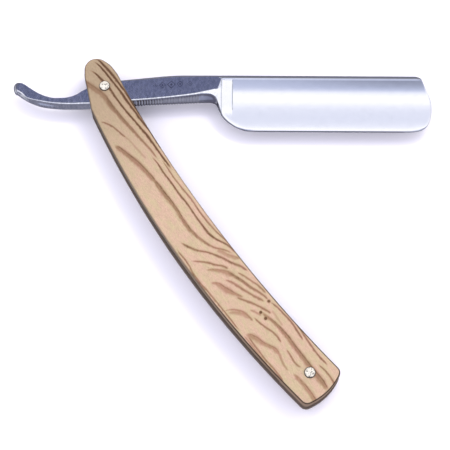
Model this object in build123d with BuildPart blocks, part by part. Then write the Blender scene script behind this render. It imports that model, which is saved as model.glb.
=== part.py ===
from build123d import *
from math import cos, radians, sin, tan
import os

# Straight razor, open about halfway and lying on its side, in millimetres.
# X runs along the blade from the pivot to the toe, Y from the cutting edge to the spine, Z up.
# The origin is where the pivot axis meets the table, so the rear pin heads stand on z = 0.
# One steel piece (blade, shank, tang and tail) turns on the pivot pin between two bowed
# wooden scales. A spacer and a second pin hold the scales apart at the butt.

# ---------------------------------------------------------------- driving dimensions
spine_y = 6.3  # spine line above the pivot axis
edge_y = -15.9  # cutting edge below the pivot axis
toe_x = 118.8  # furthest point of the toe
shoulder_x = 42.5  # where the shoulder strip starts
hollow_x = 46.4  # where the hollow grind starts
tail_tip_x = -33.6

spine_half = 2.6  # half the blade's thickness at the spine
tang_half = 1.5  # half the tang's thickness round the pivot
tail_half = 1.25  # half the tail's thickness at its tip
shank_half = 2.3  # half the shank's thickness at the shoulder
tang_flat = 8.0  # the tang's faces are parallel this far each side of the pivot

handle_angle = -55.5  # direction of the handle in this pose, from +X
pin_spacing = 128.8  # pivot pin to butt pin
scale_thickness = 2.6
scale_bow = 0.8  # how far each scale curves outward between its pins
bow_from, bow_to = 4.0, 124.2  # the scales are straight outside this stretch
outer_round, inner_round = 0.9, 0.3  # rounding of a scale's outer and inner edges
butt_round = 2.0  # rounding of the butt's two corners

washer_thickness = 0.28
washer_radius = 2.7
washer_play = 0.02  # each side of a thrust washer
pin_radius = 0.8
fixed_play = 0.02  # radial play of a pin in the scales, collars and spacer
pivot_play = 0.05  # radial running clearance of the tang on the pivot pin
collar_radius, collar_rim, collar_height = 1.95, 0.2, 0.65
collar_land = 1.05  # radius of the flat the pin is peened down on
head_radius, head_height, head_flat = 0.98, 0.22, 0.55

wedge_from = 124.7  # the spacer's inner end, along the handle
wedge_inset = 0.35  # the spacer stands back this far from the scales' outline

jimp_pitch, jimp_width, jimp_depth, jimp_count, jimp_from = 1.0, 0.5, 0.3, 23, 11.6

os.makedirs("parts", exist_ok=True)
half_gap = tang_half + washer_thickness + 2 * washer_play  # centre plane to a scale
mid_z = half_gap + scale_thickness + collar_height + head_height

# ---------------------------------------------------------------- planes
turn = radians(handle_angle)
along = (cos(turn), sin(turn), 0)
back = (sin(turn), -cos(turn), 0)
butt = (pin_spacing * cos(turn), pin_spacing * sin(turn))
blade_top = Plane.XY.offset(mid_z)
handle_top = Plane(origin=(0, 0, mid_z), x_dir=along, z_dir=(0, 0, 1))
handle_side = Plane(origin=(0, 0, mid_z), x_dir=along, z_dir=back)


def across(x):
    """The plane across the blade at x, with local X up to the spine and local Y along Z."""
    return Plane(origin=(x, 0, mid_z), x_dir=(0, 1, 0), z_dir=(1, 0, 0))


def save(piece, name):
    """Labels a finished piece and writes its STEP file."""
    piece.label = name
    export_step(piece, f"parts/{name}.step")


# ---------------------------------------------------------------- blade
# Stations of the tail, tang and shank: x, top, rounding of the top, lower edge of the flat
# faces, width of the bevel below them, bottom of the rounded underside.
stations = (
    (-34.0, 3.7, 0.4, 2.9, 0.15, 1.3),
    (-33.0, 3.3, 0.4, 1.6, 0.15, -0.6),
    (-32.0, 3.0, 0.4, 0.0, 0.15, -1.7),
    (-31.0, 2.9, 0.4, -1.5, 0.15, -2.5),
    (-30.0, 2.5, 0.4, -2.4, 0.15, -3.25),
    (-28.1, 1.2, 0.4, -3.4, 0.15, -4.4),
    (-25.9, -0.3, 0.4, -4.05, 0.15, -5.5),
    (-23.6, -1.6, 0.4, -4.5, 0.15, -6.3),
    (-21.3, -2.5, 0.4, -4.95, 0.15, -6.85),
    (-18.3, -3.1, 0.4, -5.35, 0.15, -7.2),
    (-15.0, -3.0, 0.4, -5.55, 0.15, -7.4),
    (-12.6, -2.5, 0.4, -5.6, 0.15, -7.4),
    (-10.6, -1.7, 0.4, -5.55, 0.15, -7.4),
    (-8.6, -0.3, 0.5, -5.45, 0.15, -7.35),
    (-4.0, 2.1, 0.7, -5.3, 0.15, -7.0),
    (0.0, 3.4, 0.8, -4.9, 0.15, -6.7),
    (5.8, 4.2, 0.9, -4.35, 0.15, -6.3),
    (11.2, 4.8, 1.0, -3.9, 0.15, -5.9),
    (17.3, 5.5, 1.1, -3.4, 0.2, -5.4),
    (23.5, 6.1, 1.2, -2.75, 0.2, -5.1),
    (28.0, spine_y, 1.2, -2.2, 0.25, -4.8),
    (33.0, spine_y, 1.2, -1.5, 0.35, -4.6),
    (37.2, spine_y, 1.2, -0.6, 0.8, -4.4),
    (39.2, spine_y, 1.2, -0.1, 1.5, -4.5),
    (40.7, spine_y, 1.2, 0.3, 2.9, -4.9),
    (shoulder_x, spine_y, 1.2, 1.2, 5.2, -5.5),
)
bevel_fall = tan(radians(5.5))
crown_y = spine_y - 1.9  # where the rounded back ends and the honing flat starts
crown_bend = (spine_y - 0.42, 1.45)  # a point halfway round the back
flat_y, flat_half = spine_y - 2.6, spine_half - 0.1  # where the grind starts
arc_y = -0.7  # middle of the hollow grind's steep part
web_y, web_half = -5.3, 0.6  # bottom of the hollow
belly_y, belly_half = -13.9, 0.25  # where the last taper to the edge starts
strip_foot = 0.45  # half the strip's thickness there
heel_x, belly_x = 56.5, 106.0  # the straight part of the cutting edge
strip_from = 37.0  # the strip's inner end, inside the shank
ramp_from, ramp_to = hollow_x - 0.2, hollow_x + 0.2  # from the strip into the hollow


def half_at(x):
    """Half the thickness of the tail, tang and shank at x."""
    if x < -tang_flat:
        return tang_half - (tang_half - tail_half) * (-tang_flat - x) / (-tang_flat - tail_tip_x)
    if x > tang_flat:
        return tang_half + (shank_half - tang_half) * (x - tang_flat) / (shoulder_x - tang_flat)
    return tang_half


def station_at(x):
    """Lower edge of the flat faces, bevel and bottom, between the two stations round x."""
    for near, far in zip(stations, stations[1:]):
        if near[0] <= x <= far[0]:
            share = (x - near[0]) / (far[0] - near[0])
            return [a + share * (b - a) for a, b in zip(near[3:], far[3:])]


def underside(start, bottom, half):
    """The steep underside with its rounded nose, from the front face round to the rear one."""
    deep = start - bottom
    Bezier((start, half), (start - 0.45 * deep, 0.5 * half), (bottom, 0.45 * half), (bottom, 0))
    Bezier((bottom, 0), (bottom, -0.45 * half), (start - 0.45 * deep, -0.5 * half), (start, -half))


def blade_section(x, middle, foot):
    """The blade across x: rounded back, honing flat, ground side and the taper to the edge."""
    with BuildSketch(across(x)) as section:
        with BuildLine():
            ThreePointArc((spine_y, 0), crown_bend, (crown_y, spine_half))
            Line((crown_y, spine_half), (flat_y, flat_half))
            ThreePointArc((flat_y, flat_half), middle, (web_y, foot[0]))
            Line((web_y, foot[0]), (belly_y, foot[1]))
            Line((belly_y, foot[1]), (edge_y, 0))
            mirror(about=Plane.XZ)
        make_face()
    return section.sketch


strip_fall = (flat_half - strip_foot) / (flat_y - belly_y)
strip_web = flat_half - strip_fall * (flat_y - web_y)
strip_arc = (arc_y, flat_half - strip_fall * (flat_y - arc_y) - 0.02)
strip_foot_at = (strip_web, strip_foot)
hollow_arc = (arc_y, 1.16)
hollow_foot_at = (web_half, belly_half)

with BuildPart() as ground:
    # Shoulder strip, a short ramp, then the hollow-ground length.
    extrude(blade_section(strip_from, strip_arc, strip_foot_at), amount=ramp_from - strip_from)
    hollow = blade_section(ramp_to, hollow_arc, hollow_foot_at)
    loft([blade_section(ramp_from, strip_arc, strip_foot_at), hollow])
    extrude(hollow, amount=toe_x + 1 - ramp_to)
    # Outline seen from above: spine, toe, cutting edge and heel.
    with BuildSketch(blade_top):
        with BuildLine():
            Polyline((shoulder_x, spine_y + 1), (113.4, spine_y + 1), (113.4, spine_y))
            ThreePointArc((113.4, spine_y), (114.7, 5.8), (115.2, 4.6))
            Spline((115.2, 4.6), (116.6, 1.6), (118.2, -2.3), (toe_x, -6.0), (118.4, -10.0),
                   (117.2, -13.1), (114.6, -15.2), (111.0, -15.8), (belly_x, edge_y),
                   tangents=((0.35, -1), (-1, 0)))
            Line((belly_x, edge_y), (heel_x, edge_y))
            Spline((heel_x, edge_y), (52.1, -15.6), (48.7, -14.4), (45.8, -12.4), (43.4, -10.1),
                   (42.4, -8.1), (41.6, -5.9), (40.8, -3.6), (39.6, -1.9), tangents=((-1, 0), (-0.8, 1)))
            Polyline((39.6, -1.9), (41.0, 0.5), (shoulder_x, 1.2), (shoulder_x, spine_y + 1))
        make_face()
    extrude(amount=10, both=True, mode=Mode.INTERSECT)

with BuildPart() as ramp:
    # Shallow facet between the slanted end of the shank's flat face and the strip.
    high = (shoulder_x, 4.6, mid_z + shank_half)
    low = (-1.3, -4.1, -0.05)
    with BuildSketch(Plane(origin=high, x_dir=low, z_dir=(0.1, -0.044, 1))):
        Rectangle(14, 6, align=(Align.CENTER, Align.MIN))
    extrude(amount=3)

with BuildPart() as blade:
    for x, top, crown, ridge, bevel, bottom in stations:
        half = half_at(x)
        low = half - bevel * bevel_fall
        with BuildSketch(across(x)):
            with BuildLine():
                Polyline((top - crown, half), (ridge, half), (ridge - bevel, low))
                underside(ridge - bevel, bottom, low)
                Polyline((ridge - bevel, -low), (ridge, -half), (top - crown, -half))
                ThreePointArc((top - crown, -half), (top, 0), (top - crown, half))
            make_face()
    loft(ruled=True)
    add(ramp.part, mode=Mode.SUBTRACT)
    mirror(ramp.part, about=Plane.XY.offset(mid_z), mode=Mode.SUBTRACT)
    # Rounded end of the tail.
    with BuildSketch(blade_top):
        with BuildLine():
            ThreePointArc((-31.2, 2.95), (tail_tip_x, 1.2), (-33.0, -0.6))
            Polyline((-33.0, -0.6), (-36, -0.6), (-36, 6), (-31.2, 6), (-31.2, 2.95))
        make_face()
    extrude(amount=10, both=True, mode=Mode.SUBTRACT)
    add(ground.part)
    # Clearance hole for the pivot pin.
    with BuildSketch(blade_top):
        Circle(pin_radius + pivot_play)
    extrude(amount=10, both=True, mode=Mode.SUBTRACT)
    # Grooves across the rounded underside, for grip.
    for i in range(jimp_count):
        x = jimp_from + i * jimp_pitch
        ridge, bevel, bottom = station_at(x)
        start = ridge - bevel
        low = half_at(x) - bevel * bevel_fall - 0.5 * jimp_depth
        far = low + 1
        with BuildSketch(across(x)):
            with BuildLine():
                underside(start, bottom + jimp_depth, low)
                Polyline((start, -low), (start, -far), (bottom - 1, -far), (bottom - 1, far),
                         (start, far), (start, low))
            make_face()
        extrude(amount=jimp_width, mode=Mode.SUBTRACT)
save(blade.part, "blade")

# ---------------------------------------------------------------- wooden scales
bow_mid, bow_quarter = (bow_from + bow_to) / 2, (bow_to - bow_from) / 4


def handle_face(inset=0):
    """The handle from the side, drawn in by inset: rounded end at the pivot, hollow edge
    towards the blade, full edge behind and a slanted butt."""
    with BuildSketch(handle_top) as outline:
        with BuildLine():
            Spline((4.2, 5.8), (-2.6, 6.6), (-7.4, 6.1), (-10.7, 4.3), (-12.0, 1.6), (-11.3, -1.1),
                   (-8.6, -3.3), (-2.4, -6.0), (5.0, -9.0), tangents=((-1, 0.12), (1, -0.2)))
            ThreePointArc((5.0, -9.0), (69.5, -14.1), (137.2, -7.8))
            ThreePointArc((137.2, -7.8), (137.8, 0.0), (134.3, 9.3))
            ThreePointArc((134.3, 9.3), (65.3, 3.1), (4.2, 5.8))
        make_face()
        fillet(outline.vertices().sort_by(Axis.X)[-2:], butt_round)
        if inset:
            offset(amount=-inset)
    return outline.sketch


with BuildPart() as front_scale:
    # Bowed sheet, seen from the side.
    with BuildSketch(handle_side):
        with BuildLine():
            for z in (half_gap, half_gap + scale_thickness):
                Line((-20, z), (bow_from, z))
                Spline((bow_from, z), (bow_from + bow_quarter, z + scale_bow / 2), (bow_mid, z + scale_bow),
                       (bow_to - bow_quarter, z + scale_bow / 2), (bow_to, z), tangents=((1, 0), (1, 0)))
                Line((bow_to, z), (150, z))
            Line((-20, half_gap), (-20, half_gap + scale_thickness))
            Line((150, half_gap), (150, half_gap + scale_thickness))
        make_face()
    extrude(amount=25, both=True)
    extrude(handle_face(), amount=12, mode=Mode.INTERSECT)
    # Rounded edges, more on the outer side than on the inner one.
    level = mid_z + half_gap + scale_thickness / 2 + scale_bow / 2
    inner_level = mid_z + half_gap + scale_bow + 0.05
    curved = front_scale.edges().filter_by(GeomType.LINE, reverse=True)
    fillet(curved.filter_by(lambda edge: edge.center().Z > level), outer_round)
    curved = front_scale.edges().filter_by(GeomType.LINE, reverse=True)
    fillet(curved.filter_by(lambda edge: edge.center().Z < inner_level), inner_round)
    # Pin holes.
    with BuildSketch(handle_top):
        with Locations((0, 0), (pin_spacing, 0)):
            Circle(pin_radius + fixed_play)
    extrude(amount=12, mode=Mode.SUBTRACT)
save(front_scale.part, "front_scale")

with BuildPart() as back_scale:
    mirror(front_scale.part, about=blade_top)
save(back_scale.part, "back_scale")

# ---------------------------------------------------------------- spacer at the butt
with BuildPart() as end_wedge:
    extrude(handle_face(wedge_inset), amount=half_gap, both=True)
    with BuildSketch(handle_top):
        with Locations((wedge_from, 0)):
            Rectangle(30, 40, align=(Align.MIN, Align.CENTER))
    extrude(amount=half_gap, both=True, mode=Mode.INTERSECT)
    with BuildSketch(handle_top):
        with Locations((pin_spacing, 0)):
            Circle(pin_radius + fixed_play)
    extrude(amount=half_gap, both=True, mode=Mode.SUBTRACT)
save(end_wedge.part, "end_wedge")


# ---------------------------------------------------------------- turned pieces
def front_collar():
    """Domed washer that the front head of a pin is peened down on, about the global Z axis."""
    foot = mid_z + half_gap + scale_thickness
    top = foot + collar_height
    rim = foot + collar_rim
    bore = pin_radius + fixed_play
    with BuildPart() as collar:
        with BuildSketch(Plane.XZ):
            with BuildLine():
                Polyline((collar_land, top), (bore, top), (bore, foot), (collar_radius, foot),
                         (collar_radius, rim))
                TangentArc((collar_land, top), (collar_radius, rim), tangent=(1, 0))
            make_face()
        revolve(axis=Axis.Z)
    return collar.part


def pin():
    """Pin with a head peened at each end, about the global Z axis; the rear head is flattened."""
    top = 2 * mid_z
    with BuildPart() as rod:
        with BuildSketch(Plane.XZ):
            with BuildLine():
                TangentArc((0, top), (head_radius, top - head_height), tangent=(1, 0))
                Polyline((head_radius, top - head_height), (pin_radius, top - head_height),
                         (pin_radius, head_height), (head_radius, head_height))
                TangentArc((head_flat, 0), (head_radius, head_height), tangent=(1, 0))
                Polyline((head_flat, 0), (0, 0), (0, top))
            make_face()
        revolve(axis=Axis.Z)
    return rod.part


with BuildPart() as pivot_pin:
    add(pin())
save(pivot_pin.part, "pivot_pin")

with BuildPart() as wedge_pin:
    with Locations(butt):
        add(pin())
save(wedge_pin.part, "wedge_pin")

with BuildPart() as front_pivot_collar:
    add(front_collar())
save(front_pivot_collar.part, "front_pivot_collar")

with BuildPart() as back_pivot_collar:
    mirror(front_pivot_collar.part, about=blade_top)
save(back_pivot_collar.part, "back_pivot_collar")

with BuildPart() as front_wedge_collar:
    with Locations(butt):
        add(front_collar())
save(front_wedge_collar.part, "front_wedge_collar")

with BuildPart() as back_wedge_collar:
    mirror(front_wedge_collar.part, about=blade_top)
save(back_wedge_collar.part, "back_wedge_collar")

# ---------------------------------------------------------------- thrust washers
with BuildPart() as front_thrust_washer:
    with BuildSketch(Plane.XY.offset(mid_z + tang_half + washer_play)):
        Circle(washer_radius)
        Circle(pin_radius + pivot_play, mode=Mode.SUBTRACT)
    extrude(amount=washer_thickness)
save(front_thrust_washer.part, "front_thrust_washer")

with BuildPart() as back_thrust_washer:
    mirror(front_thrust_washer.part, about=blade_top)
save(back_thrust_washer.part, "back_thrust_washer")
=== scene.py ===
import math

import bmesh
import bpy
import numpy as np
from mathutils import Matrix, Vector, noise


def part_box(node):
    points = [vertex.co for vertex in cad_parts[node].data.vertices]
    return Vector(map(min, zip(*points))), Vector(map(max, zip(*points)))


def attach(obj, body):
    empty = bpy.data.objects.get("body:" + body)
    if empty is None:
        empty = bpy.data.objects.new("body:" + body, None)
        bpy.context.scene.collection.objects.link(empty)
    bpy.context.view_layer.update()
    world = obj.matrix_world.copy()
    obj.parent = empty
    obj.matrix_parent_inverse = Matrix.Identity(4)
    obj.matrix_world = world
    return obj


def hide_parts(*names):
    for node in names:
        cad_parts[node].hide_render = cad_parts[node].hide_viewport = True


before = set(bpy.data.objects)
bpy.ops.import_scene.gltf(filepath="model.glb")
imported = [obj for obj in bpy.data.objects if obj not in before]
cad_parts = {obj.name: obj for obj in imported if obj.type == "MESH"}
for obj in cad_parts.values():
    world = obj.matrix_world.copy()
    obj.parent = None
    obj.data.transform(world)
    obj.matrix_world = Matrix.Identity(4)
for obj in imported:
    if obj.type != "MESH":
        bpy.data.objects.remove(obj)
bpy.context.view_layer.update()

# The object is in millimetres in the CAD frame until its meshes are made; the stage is in metres.
MM = 0.001
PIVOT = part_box("pivot_pin")
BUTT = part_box("wedge_pin")
MID_Z = (PIVOT[0].z + PIVOT[1].z) / 2 / MM  # middle plane of the razor
BUTT_X, BUTT_Y = ((BUTT[0] + BUTT[1]) / 2 / MM)[:2]
HANDLE_ANGLE = math.atan2(BUTT_Y, BUTT_X)
TAIL_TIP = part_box("blade")[0].x / MM
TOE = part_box("blade")[1].x / MM
EDGE_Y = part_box("blade")[0].y / MM
SCALE_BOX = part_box("front_scale")
SCALE_THICKNESS = 2.6
HALF_GAP = SCALE_BOX[0].z / MM - MID_Z  # middle plane to a scale's inner face at the pins
BOW = SCALE_BOX[1].z / MM - MID_Z - HALF_GAP - SCALE_THICKNESS
PIN_RADIUS = 0.8
FIXED_HOLE, RUNNING_HOLE = PIN_RADIUS + 0.02, PIN_RADIUS + 0.05


# ------------------------------------------------------------------ shader helpers
class Tree:
    """A short way to write node graphs: sockets or numbers go in, sockets come out."""

    def __init__(self, owner):
        owner.use_nodes = True
        self.tree = owner.node_tree
        self.tree.nodes.clear()

    def node(self, kind, inputs=(), **settings):
        made = self.tree.nodes.new(kind)
        for key, value in settings.items():
            setattr(made, key, value)
        items = inputs.items() if isinstance(inputs, dict) else enumerate(inputs)
        for key, value in items:
            self.put(made.inputs[key], value)
        return made

    def put(self, socket, value):
        if isinstance(value, bpy.types.NodeSocket):
            self.tree.links.new(value, socket)
        elif isinstance(value, (tuple, list)) and len(value) == 3 and socket.type == "RGBA":
            socket.default_value = (*value, 1.0)
        else:
            socket.default_value = value

    def math(self, operation, *values, clamp=False):
        return self.node("ShaderNodeMath", values, operation=operation, use_clamp=clamp).outputs[0]

    def add(self, a, b):
        return self.math("ADD", a, b)

    def sub(self, a, b):
        return self.math("SUBTRACT", a, b)

    def mul(self, a, b):
        return self.math("MULTIPLY", a, b)

    def high(self, a, b):
        return self.math("MAXIMUM", a, b)

    def size(self, value):
        return self.math("ABSOLUTE", value)

    def step(self, value, low, high):
        """Smooth 0 to 1 as value goes from low to high; high may be below low."""
        flip = low > high
        if flip:
            low, high = high, low
        ranges = {"Value": value, "From Min": low, "From Max": high}
        out = self.node("ShaderNodeMapRange", ranges, interpolation_type="SMOOTHSTEP").outputs[0]
        return self.sub(1.0, out) if flip else out

    def remap(self, value, low, high, to_low=0.0, to_high=1.0):
        """Straight from to_low to to_high as value goes from low to high."""
        ranges = {"Value": value, "From Min": low, "From Max": high}
        ranges.update({"To Min": to_low, "To Max": to_high})
        return self.node("ShaderNodeMapRange", ranges).outputs[0]

    def curve(self, value, points):
        """A smooth curve through (place, value) points."""
        places, values = zip(*points)
        low, high = min(values), max(values)
        share = self.remap(value, places[0], places[-1])
        bend = self.node("ShaderNodeFloatCurve", {"Value": share})
        knots = bend.mapping.curves[0].points
        for _ in range(len(points) - 2):
            knots.new(0.5, 0.5)
        for knot, (place, level) in zip(knots, points):
            across = (place - places[0]) / (places[-1] - places[0])
            knot.location = (across, (level - low) / (high - low))
        bend.mapping.update()
        return self.remap(bend.outputs[0], 0.0, 1.0, low, high)

    def mix(self, factor, a, b, blend="MIX"):
        mixer = self.node("ShaderNodeMix", data_type="RGBA", blend_type=blend)
        self.put(mixer.inputs[0], factor)
        self.put(mixer.inputs[6], a)
        self.put(mixer.inputs[7], b)
        return mixer.outputs[2]

    def dim(self, colour, factors):
        """A colour socket times three numbers."""
        return self.mix(1.0, colour, factors, "MULTIPLY")

    def noise(self, x, y, z, detail, rough=0.5):
        """Noise at a point given in the pattern's own units."""
        at = self.node("ShaderNodeCombineXYZ", (x, y, z)).outputs[0]
        inputs = {"Vector": at, "Scale": 1.0, "Detail": detail, "Roughness": rough}
        return self.node("ShaderNodeTexNoise", inputs).outputs[0]

    def place(self, turn=0.0):
        """Object coordinates in millimetres as x, y, z sockets, with x and y turned about Z."""
        at = self.node("ShaderNodeTexCoord").outputs["Object"]
        settings = {"Vector": at, "Rotation": (0.0, 0.0, -turn), "Scale": (1 / MM, 1 / MM, 1 / MM)}
        turned = self.node("ShaderNodeMapping", settings, vector_type="POINT").outputs[0]
        return self.node("ShaderNodeSeparateXYZ", (turned,)).outputs

    def level(self):
        """How squarely the surface faces up or down, 0 to 1."""
        normal = self.node("ShaderNodeTexCoord").outputs["Normal"]
        return self.size(self.node("ShaderNodeSeparateXYZ", (normal,)).outputs[2])

    def attribute(self, name):
        return self.node("ShaderNodeAttribute", attribute_name=name).outputs["Fac"]

    def bump(self, height, distance, strength=1.0):
        inputs = {"Height": height, "Distance": distance * MM, "Strength": strength}
        return self.node("ShaderNodeBump", inputs).outputs[0]

    def principled(self, inputs):
        self.surface(self.node("ShaderNodeBsdfPrincipled", inputs))

    def surface(self, shader, kind="ShaderNodeOutputMaterial"):
        self.node(kind, {"Surface": shader.outputs[0]})


def material(name):
    made = bpy.data.materials.new(name)
    return made, Tree(made)


def dress(piece, skin):
    """Gives a piece one material."""
    piece.data.materials.clear()
    piece.data.materials.append(skin)


def times(colour, factors):
    """A colour times a number, or times another colour."""
    if isinstance(factors, float):
        factors = (factors,) * 3
    return tuple(a * b for a, b in zip(colour, factors))


# ------------------------------------------------------------------ wood
# Streaks of the wood in the handle's own frame: half width at the start and at the end,
# strength, then points (along the handle from the pivot pin, across it towards the blade).
STREAKS = (
    (0.42, 0.34, 1.1, (-12.5, 1.8), (-11, 3.2), (-9, 4.1), (-4, 4.67), (1, 4.93), (6, 4.83),
     (13, 4.5), (20, 4.3)),
    (0.42, 0.34, 1.1, (-12.4, 0.2), (-11.5, 1.0), (-10, 2.2), (-7.3, 2.9), (-2.3, 3.35), (5, 3.45),
     (14.3, 3.5), (24.3, 3.7), (34, 3.5)),
    (0.40, 0.36, 1.05, (-10.6, -2.8), (-9.8, -2.0), (-8, -0.8), (-5.7, 0.07), (-2.7, 0.5),
     (1.5, 0.83), (6, 0.92), (11, 1.05), (16, 1.4), (21, 1.73), (26, 2.0), (31, 2.17), (37, 2.0),
     (43, 2.2)),
    (1.3, 0.5, 0.62, (-7, -5.4), (-4, -4.7), (-1.3, -3.67), (1, -2.9), (3.7, -2.4), (7.7, -2.5),
     (12.7, -2.1)),
    (0.75, 0.3, 0.75, (2, -2.2), (7.7, -2.3), (12.7, -2.0), (17.7, -1.5), (22.7, -0.83),
     (27.7, -0.27), (32.7, 0.1), (36, 0.1)),
    (0.3, 0.4, 0.95, (31, -1.15), (34, -0.9), (37, -0.78), (42, -1.0), (47, -1.0), (52, -0.83),
     (57, -0.73), (62, -0.8), (67.2, -0.8), (70.6, -0.13), (72.7, 0.8), (75, 2.1), (76.6, 2.7),
     (79.8, 3.1), (82, 3.2)),
    (0.25, 0.3, 0.8, (34.5, 1.17), (40.3, 1.17), (45.3, 0.95), (50.3, 1.07), (55.3, 1.33),
     (60.3, 1.4), (65.3, 1.48), (68.7, 1.7), (71.9, 2.4), (75, 3.0), (77, 3.1)),
    (0.35, 0.25, 0.8, (10.8, -9.1), (13.3, -7.3), (16, -6.0), (19.3, -5.17), (22, -4.7)),
    (0.3, 0.3, 0.35, (20, -5.0), (24.3, -4.1), (28.7, -3.6), (33, -3.3)),
    (0.9, 0.8, 0.7, (21, -9.9), (22.5, -9.3), (25.3, -8.5), (29.3, -7.3), (32.7, -6.6), (36, -6.0),
     (39, -5.6), (43, -5.35)),
    (0.8, 0.4, 0.75, (38, -5.7), (42, -5.3), (47, -5.2), (52, -5.07), (55.3, -4.97), (58.7, -5.17),
     (63.7, -5.27), (66.6, -4.74), (70, -3.7), (72.4, -2.84), (74.3, -1.6), (75.6, -0.4),
     (77.2, 0.9), (78.7, 1.7), (81, 2.6)),
    (0.5, 0.7, 0.5, (75, -1.9), (76.6, -0.8), (78.7, 0.26), (80.8, 1.84), (82.6, 3.1)),
    (0.4, 0.4, 0.85, (65, -11.0), (66, -10.4), (68.7, -9.2), (71.4, -7.5), (74, -5.1), (76.6, -3.0),
     (79.5, -1.3), (82.2, 0.26), (84.5, 1.6), (86.4, 2.5), (88.5, 3.4)),
    (0.35, 0.35, 0.8, (73.4, -11.4), (74.1, -10.5), (75.6, -8.7), (77.4, -6.8), (79.5, -5.0),
     (81.1, -3.4), (83.5, -2.0)),
    (0.5, 0.9, 0.6, (78.9, -8.8), (79.5, -8.0), (80.8, -6.3), (82.4, -4.7), (84, -3.3),
     (86.5, -2.1)),
    (0.6, 0.35, 0.8, (83, -3.9), (85.8, -2.2), (87.7, -1.4), (90.3, -0.4), (93, 0.4), (95, 1.3),
     (97.7, 2.4), (99.5, 2.9), (100.5, 3.0)),
    (0.3, 0.35, 0.75, (85.5, -0.4), (86.6, 0), (89, 1.05), (91.6, 2.1), (93.7, 2.9), (96.1, 3.4),
     (98, 3.7)),
    (0.4, 0.4, 0.75, (85.2, -5.7), (86.1, -5.1), (87.7, -4.1), (90.3, -2.9), (93, -1.84),
     (95.6, -0.66), (98.2, 0.66), (100.2, 1.5)),
    (0.4, 0.35, 0.8, (92.6, -6.0), (93.7, -5.26), (95.6, -3.95), (98.2, -2.2), (100.8, -0.66),
     (103, 0.26), (105, 1.1)),
    (0.5, 1.1, 0.6, (83.6, -9.9), (84.5, -9.2), (85.8, -8.1), (87.7, -7.5), (89.3, -6.9),
     (91, -6.1)),
    (1.1, 0.4, 0.62, (87.5, -7.5), (89.3, -6.7), (91.4, -5.7), (93.7, -4.2), (94.6, -3.6)),
    (0.4, 0.3, 0.7, (94.3, -12.4), (94.8, -11.6), (95.8, -9.5), (97.2, -7.9), (99, -6.6),
     (101.4, -5.9), (103.5, -5.6)),
    (0.6, 0.5, 0.5, (95.8, -11.4), (96.6, -10.1), (98.5, -8.0), (100.3, -6.7), (102, -6.1)),
    (0.3, 0.3, 0.85, (100.3, 2.7), (103.4, 3.8), (106.6, 4.4), (110, 4.74), (113.2, 4.87),
     (117.1, 4.74), (119, 4.6)),
    (0.3, 0.3, 0.85, (108, 5.5), (110.5, 5.8), (114.5, 6.05), (117.9, 5.84), (121, 5.74),
     (125, 5.9), (127.9, 6.1), (131, 6.35)),
    (0.25, 0.35, 0.8, (127.8, 4.1), (131.6, 4.66), (134.2, 4.8), (137, 4.7), (138, 4.6)),
    (0.55, 1.0, 0.72, (100.4, -2.4), (101.6, -1.6), (104, -1.1), (106.3, -0.4), (109.2, 0.35),
     (112.6, 0.75), (116.3, 0.95), (121, 1.1), (126.3, 1.15), (131, 1.3), (134.2, 1.5),
     (136.5, 1.5), (138.6, 1.1)),
    (0.3, 0.25, 0.6, (99.3, -4.2), (101.6, -2.9), (103.4, -2.2)),
    (0.3, 0.35, 0.8, (101.8, -4.7), (105.3, -3.95), (107.9, -3.2), (110.5, -2.4), (112.6, -2.0),
     (115.3, -2.0)),
    (0.3, 0.3, 0.75, (117.6, -1.9), (120.5, -2.1), (122.9, -2.2), (126, -1.5)),
    (1.0, 0.6, 0.6, (105.2, -10.2), (106.6, -9.5), (108.7, -8.4), (111.3, -7.4), (113.7, -6.05),
     (115.8, -5.15), (118.5, -5.0)),
    (0.5, 0.3, 0.55, (115, -5.4), (117.9, -5.0), (120, -5.5), (122.6, -5.8), (124.5, -5.9)),
    (0.55, 0.85, 0.62, (125.6, -4.8), (129, -4.3), (131.6, -4.0), (134.2, -3.95), (138.6, -4.3)),
    (0.3, 0.3, 0.35, (103.5, 1.6), (106, 1.84), (110.5, 1.84)),
    (0.3, 0.3, 0.8, (65.5, -12.6), (68.7, -13.15), (71.9, -12.9), (74.5, -12.9), (77.7, -13.25),
     (82.4, -13.2), (85, -12.8), (91.9, -12.2), (99.5, -11.7), (105, -11.2)),
    (0.3, 0.3, 0.8, (105.8, -9.9), (110.5, -10.1), (115.8, -9.9), (121, -9.3), (127, -8.9)),
    (0.3, 0.3, 0.6, (105, -11.0), (112, -10.85), (118.4, -10.5), (125, -9.9)),
)
# Dark dots: along, across, radius, strength.
KNOTS = ((100.5, 2.8, 0.7, 0.55), (102.2, -1.75, 0.6, 0.8), (104.9, -1.6, 0.62, 0.75))
KNOT_GAIN = 1.9
HEAD_SHADE = (0.70, 0.69, 0.64)  # painted shade on the wood round the pivot, against the rest
PINKER, YELLOWER = (1.06, 0.95, 1.0), (0.97, 1.0, 0.90)  # two kinds of patches, against their mean
PALE_FIBRE, DARK_FIBRE = (1.16, 1.16, 1.16), (0.80, 0.80, 0.80)
STREAK_BROWN = (0.66, 0.53, 0.48)  # a weak streak, against the wood round it
ARRIS_SHADE = (0.035, 0.022, 0.015)  # painted shade: the dark line along the rounded edges
# Side walls of the scales, darker than the faces: painted shade, deepest near the pivot where the tail
# shades them.
HEAD_WALL_SHADE, MIDDLE_WALL_SHADE, BUTT_WALL_SHADE = (0.060, 0.047, 0.042), (0.12, 0.09, 0.07), (0.17, 0.112, 0.072)
LOWER_WALL_SHADE = (0.05, 0.036, 0.034)  # painted shade on the walls below the middle plane, those of the rear scale
GAP_SHADE = (0.10, 0.075, 0.062)  # painted shade on the faces that look into the gap between the scales


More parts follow.
